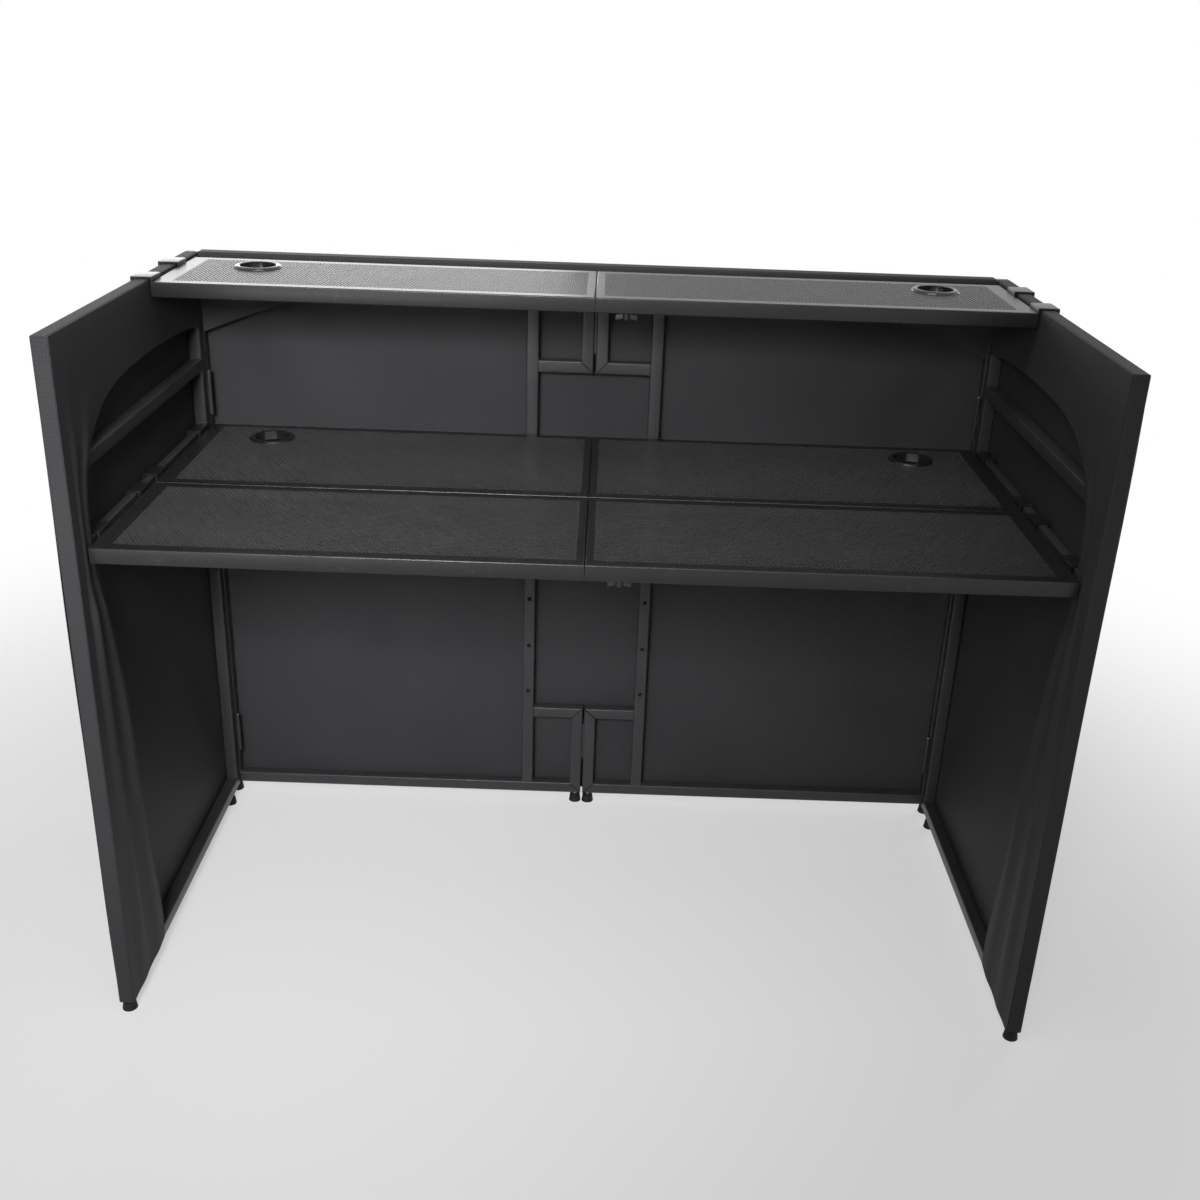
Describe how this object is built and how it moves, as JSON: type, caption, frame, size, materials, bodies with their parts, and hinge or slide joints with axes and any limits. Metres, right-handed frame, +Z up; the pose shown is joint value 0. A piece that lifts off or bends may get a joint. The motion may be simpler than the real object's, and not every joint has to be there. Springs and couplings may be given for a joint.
{
  "type": "dj booth",
  "caption": "Folding DJ booth: black tube facade and side wings under stretch cloth, with perforated metal table decks hooked on the wings and a narrow top shelf above",
  "frame": {"origin": "on the floor under the middle of the whole booth", "axes": "+X to the right of the person who stands behind the booth, +Y towards the audience, +Z up"},
  "size_m": [1.462, 0.7104, 1.0998],
  "materials": {
    "frame_coat": "satin black powder coat",
    "deck_coat": "satin black powder coat on perforated sheet",
    "stretch_cloth": "matt black knitted polyester",
    "black_rubber": "matt",
    "zinc_steel": "bright zinc",
    "black_plastic": "satin moulded",
    "bolt_black": "black oxide"
  },
  "bodies": {
    "booth": {"facade_frame_left": "frame_coat", "facade_frame_right": "frame_coat", "wing_frame_left": "frame_coat", "wing_frame_right": "frame_coat", "centre_hinge_leaves_left": "frame_coat", "centre_hinge_leaves_right": "frame_coat", "centre_hinge_pins": "zinc_steel", "corner_hinge_facade_leaves": "frame_coat", "corner_hinge_wing_leaves": "frame_coat", "corner_hinge_pins": "zinc_steel", "rubber_feet": "black_rubber", "foot_studs": "zinc_steel", "scrim_front": "stretch_cloth", "scrim_left": "stretch_cloth", "scrim_right": "stretch_cloth", "scrim_bands": "stretch_cloth", "scrim_inner_skirts": "stretch_cloth"},
    "top_shelf": {"top_deck_left": "deck_coat", "top_deck_right": "deck_coat", "top_tongues": "deck_coat", "top_hooks": "deck_coat", "top_grommets": "black_plastic"},
    "top_bolt_front": {"top_wing_bolt_front": "bolt_black"},
    "top_bolt_rear": {"top_wing_bolt_rear": "bolt_black"},
    "rear_table": {"rear_deck_left": "deck_coat", "rear_deck_right": "deck_coat", "rear_tongues": "deck_coat", "rear_hooks": "deck_coat", "rear_grommets": "black_plastic"},
    "rear_bolt_front": {"rear_wing_bolt_front": "bolt_black"},
    "rear_bolt_rear": {"rear_wing_bolt_rear": "bolt_black"},
    "front_table": {"front_deck_left": "deck_coat", "front_deck_right": "deck_coat", "front_tongues": "deck_coat", "front_hooks": "deck_coat"},
    "front_bolt_front": {"front_wing_bolt_front": "bolt_black"},
    "front_bolt_rear": {"front_wing_bolt_rear": "bolt_black"}
  },
  "joints": [
    {"name": "top_shelf_lift", "type": "slide", "parent": "booth", "child": "top_shelf", "axis": [0, 0, 1], "range_m": [0, 0.15]},
    {"name": "top_bolt_front_turn", "type": "hinge", "parent": "top_shelf", "child": "top_bolt_front", "pos_m": [0.05, 0.0631, 1.063], "axis": [0, 0, 1], "continuous": true},
    {"name": "top_bolt_rear_turn", "type": "hinge", "parent": "top_shelf", "child": "top_bolt_rear", "pos_m": [0.074, 0.2776, 1.063], "axis": [0, 0, 1], "continuous": true},
    {"name": "rear_table_lift", "type": "slide", "parent": "booth", "child": "rear_table", "axis": [0, 0, 1], "range_m": [0, 0.08]},
    {"name": "rear_bolt_front_turn", "type": "hinge", "parent": "rear_table", "child": "rear_bolt_front", "pos_m": [0.05, -0.0139, 0.76], "axis": [0, 0, 1], "continuous": true},
    {"name": "rear_bolt_rear_turn", "type": "hinge", "parent": "rear_table", "child": "rear_bolt_rear", "pos_m": [0.074, 0.2986, 0.76], "axis": [0, 0, 1], "continuous": true},
    {"name": "front_table_lift", "type": "slide", "parent": "booth", "child": "front_table", "axis": [0, 0, 1], "range_m": [0, 0.08]},
    {"name": "front_bolt_front_turn", "type": "hinge", "parent": "front_table", "child": "front_bolt_front", "pos_m": [0.05, -0.3089, 0.76], "axis": [0, 0, 1], "continuous": true},
    {"name": "front_bolt_rear_turn", "type": "hinge", "parent": "front_table", "child": "front_bolt_rear", "pos_m": [0.074, -0.0424, 0.76], "axis": [0, 0, 1], "continuous": true}
  ]
}
